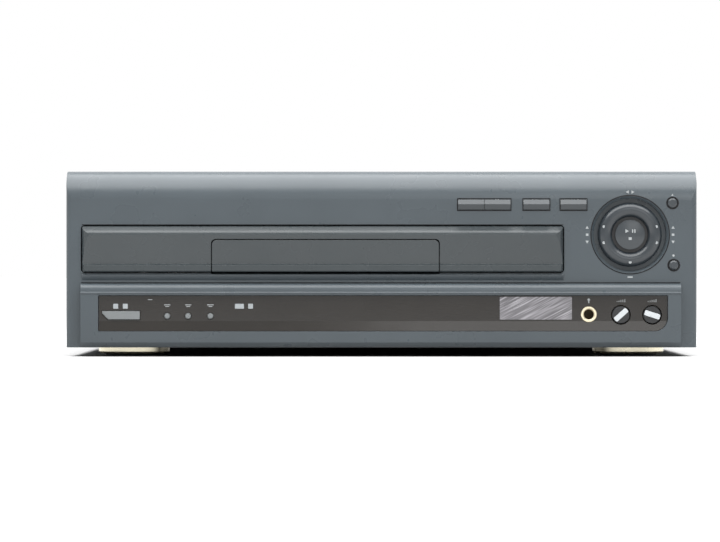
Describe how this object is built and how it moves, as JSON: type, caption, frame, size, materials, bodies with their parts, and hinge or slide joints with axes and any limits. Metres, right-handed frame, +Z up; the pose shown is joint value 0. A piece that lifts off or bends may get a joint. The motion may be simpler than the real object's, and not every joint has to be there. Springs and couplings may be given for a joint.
{
  "type": "laserdisc player",
  "caption": "Front-loading player for large and small optical discs, with nested trays, a round control cluster, a smoked lower window and a microphone input.",
  "frame": {"origin": "on the resting plane, under the middle of the bounding box", "axes": "+X to the player's right as seen from the front, +Y to the rear, +Z up; the front faces -Y"},
  "size_m": [0.42, 0.395, 0.1235],
  "materials": {
    "steel": "zinc plated sheet",
    "black_steel": "satin",
    "cover_paint": "fine textured paint",
    "panel_plastic": "satin moulded plastic",
    "smoked_window": "smoked acrylic, glossy",
    "badge_silver": "brushed",
    "lens_white": "translucent white",
    "foot_plastic": "champagne gold",
    "rubber_pad": "matte",
    "screw_steel": "black oxide",
    "key_plastic": "satin moulded plastic",
    "black_plastic": "matte",
    "key_grey": "satin grey",
    "board": "phenolic board",
    "tube_glass": "dark display glass",
    "brass_ring": "satin",
    "tray_plastic": "satin black",
    "bright_steel": "ground",
    "white_plastic": "acetal",
    "belt_rubber": "matte",
    "cast_base": "die cast",
    "lens_glass": "coated lens",
    "core_steel": "laminated core, varnished",
    "chrome_shell": "bright",
    "insert_plastic": "coloured sockets"
  },
  "bodies": {
    "case": {"chassis_pan": "steel", "rear_panel": "black_steel", "top_cover": "cover_paint", "front_panel": "panel_plastic", "display_window": "smoked_window", "badge_plate": "badge_silver", "indicator_lenses": "lens_white", "feet": "foot_plastic", "foot_pads": "rubber_pad", "case_screws": "screw_steel", "key_board": "board", "display_board": "board", "display_tube": "tube_glass", "mic_board": "board", "mic_jack": "brass_ring", "tray_guides": "black_plastic", "loading_frame": "black_plastic", "gear_posts": "bright_steel", "loading_belt": "belt_rubber", "loading_motor": "bright_steel", "lift_posts": "bright_steel", "clamp_bridge": "steel", "main_board": "board", "power_board": "board", "transformer": "core_steel", "jack_block": "black_plastic", "phono_shells": "chrome_shell", "phono_inserts": "insert_plastic", "mains_inlet": "black_plastic"},
    "ld_tray": {"ld_tray": "tray_plastic", "ld_tray_front": "panel_plastic"},
    "cd_tray": {"cd_tray": "tray_plastic", "cd_tray_front": "panel_plastic"},
    "mechanism": {"mechanism_base": "cast_base", "spindle_motor": "bright_steel", "guide_rods": "bright_steel", "sled_motor": "bright_steel"},
    "carriage": {"pickup_carriage": "cast_base"},
    "lens": {"objective_lens": "lens_glass"},
    "tray_gear": {"tray_gear": "white_plastic"},
    "pulley_gear": {"pulley_gear": "white_plastic"},
    "motor_pulley": {"motor_pulley": "white_plastic"},
    "turntable": {"turntable": "black_plastic"},
    "sled_gear": {"sled_gear": "white_plastic"},
    "clamper": {"clamper": "black_plastic"},
    "slim_key_1": {"slim_key_1": "key_plastic"},
    "slim_key_2": {"slim_key_2": "key_plastic"},
    "slim_key_3": {"slim_key_3": "key_plastic"},
    "slim_key_4": {"slim_key_4": "key_plastic"},
    "round_key_upper": {"round_key_upper": "key_plastic"},
    "round_key_lower": {"round_key_lower": "key_plastic"},
    "small_key_1": {"small_key_1": "key_grey"},
    "small_key_2": {"small_key_2": "key_grey"},
    "small_key_3": {"small_key_3": "key_grey"},
    "play_key": {"play_key": "key_plastic"},
    "power_key": {"power_key": "key_grey"},
    "ring_carrier": {"ring_carrier": "black_plastic"},
    "direction_ring": {"direction_ring": "panel_plastic"},
    "mic_level_knob": {"mic_level_knob": "black_plastic"},
    "echo_knob": {"echo_knob": "black_plastic"}
  },
  "joints": [
    {"name": "ld_tray_slide", "type": "slide", "parent": "case", "child": "ld_tray", "axis": [0, -1, 0], "range_m": [0, 0.315]},
    {"name": "cd_tray_slide", "type": "slide", "parent": "ld_tray", "child": "cd_tray", "axis": [0, -1, 0], "range_m": [0, 0.23]},
    {"name": "tray_gear_spin", "type": "hinge", "parent": "case", "child": "tray_gear", "pos_m": [-0.1605, -0.15, 0.0588], "axis": [0, 0, 1], "range_deg": [-2, 1034]},
    {"name": "pulley_gear_spin", "type": "hinge", "parent": "case", "child": "pulley_gear", "pos_m": [-0.13425, -0.15, 0.056], "axis": [0, 0, 1], "range_deg": [-2066, 2]},
    {"name": "motor_pulley_spin", "type": "hinge", "parent": "case", "child": "motor_pulley", "pos_m": [-0.09425, -0.15, 0.0524], "axis": [0, 0, 1], "range_deg": [-6052, 4]},
    {"name": "mechanism_lift", "type": "slide", "parent": "case", "child": "mechanism", "axis": [0, 0, 1], "range_m": [0, 0.0096]},
    {"name": "turntable_spin", "type": "hinge", "parent": "mechanism", "child": "turntable", "pos_m": [-0.0373, -0.0255, 0.058], "axis": [0, 0, 1], "continuous": true},
    {"name": "sled_slide", "type": "slide", "parent": "mechanism", "child": "carriage", "axis": [0, 1, 0], "range_m": [0, 0.118]},
    {"name": "sled_gear_spin", "type": "hinge", "parent": "mechanism", "child": "sled_gear", "pos_m": [0.0072, 0.03, 0.042], "axis": [0, 0, 1], "range_deg": [-848, 2]},
    {"name": "lens_focus", "type": "slide", "parent": "carriage", "child": "lens", "axis": [0, 0, 1], "range_m": [-0.0006, 0.0006], "stiffness_N_per_m": 60},
    {"name": "clamper_spin", "type": "hinge", "parent": "case", "child": "clamper", "pos_m": [-0.0373, -0.0255, 0.075], "axis": [0, 0, 1], "continuous": true},
    {"name": "slim_key_1_press", "type": "slide", "parent": "case", "child": "slim_key_1", "axis": [0, 1, 0], "range_m": [0, 0.001], "stiffness_N_per_m": 300, "springref_m": -0.001},
    {"name": "slim_key_2_press", "type": "slide", "parent": "case", "child": "slim_key_2", "axis": [0, 1, 0], "range_m": [0, 0.001], "stiffness_N_per_m": 300, "springref_m": -0.001},
    {"name": "slim_key_3_press", "type": "slide", "parent": "case", "child": "slim_key_3", "axis": [0, 1, 0], "range_m": [0, 0.001], "stiffness_N_per_m": 300, "springref_m": -0.001},
    {"name": "slim_key_4_press", "type": "slide", "parent": "case", "child": "slim_key_4", "axis": [0, 1, 0], "range_m": [0, 0.001], "stiffness_N_per_m": 300, "springref_m": -0.001},
    {"name": "round_key_upper_press", "type": "slide", "parent": "case", "child": "round_key_upper", "axis": [0, 1, 0], "range_m": [0, 0.001], "stiffness_N_per_m": 300, "springref_m": -0.001},
    {"name": "round_key_lower_press", "type": "slide", "parent": "case", "child": "round_key_lower", "axis": [0, 1, 0], "range_m": [0, 0.001], "stiffness_N_per_m": 300, "springref_m": -0.001},
    {"name": "small_key_1_press", "type": "slide", "parent": "case", "child": "small_key_1", "axis": [0, 1, 0], "range_m": [0, 0.001], "stiffness_N_per_m": 300, "springref_m": -0.001},
    {"name": "small_key_2_press", "type": "slide", "parent": "case", "child": "small_key_2", "axis": [0, 1, 0], "range_m": [0, 0.001], "stiffness_N_per_m": 300, "springref_m": -0.001},
    {"name": "small_key_3_press", "type": "slide", "parent": "case", "child": "small_key_3", "axis": [0, 1, 0], "range_m": [0, 0.001], "stiffness_N_per_m": 300, "springref_m": -0.001},
    {"name": "play_key_press", "type": "slide", "parent": "case", "child": "play_key", "axis": [0, 1, 0], "range_m": [0, 0.0008], "stiffness_N_per_m": 300, "springref_m": -0.001},
    {"name": "power_key_press", "type": "slide", "parent": "case", "child": "power_key", "axis": [0, 1, 0], "range_m": [0, 0.0015], "stiffness_N_per_m": 300, "springref_m": -0.001},
    {"name": "ring_rock_up_down", "type": "hinge", "parent": "case", "child": "ring_carrier", "pos_m": [0.1655, -0.1848, 0.0811], "axis": [1, 0, 0], "range_deg": [-2.5, 2.5], "stiffness_Nm_per_rad": 0.4},
    {"name": "ring_rock_left_right", "type": "hinge", "parent": "ring_carrier", "child": "direction_ring", "pos_m": [0.1655, -0.1848, 0.0811], "axis": [0, 0, 1], "range_deg": [-2.5, 2.5], "stiffness_Nm_per_rad": 0.4},
    {"name": "mic_level_turn", "type": "hinge", "parent": "case", "child": "mic_level_knob", "pos_m": [0.159, -0.1945, 0.0278], "axis": [0, -1, 0], "range_deg": [-150, 150]},
    {"name": "echo_turn", "type": "hinge", "parent": "case", "child": "echo_knob", "pos_m": [0.1797, -0.1945, 0.0278], "axis": [0, -1, 0], "range_deg": [-150, 150]}
  ],
  "couplings": [
    {"joint": "tray_gear_spin", "follows": "ld_tray_slide", "rad_per_m": 57.143},
    {"joint": "pulley_gear_spin", "follows": "ld_tray_slide", "rad_per_m": -114.29},
    {"joint": "motor_pulley_spin", "follows": "ld_tray_slide", "rad_per_m": -335.06},
    {"joint": "sled_gear_spin", "follows": "sled_slide", "rad_per_m": -125}
  ]
}
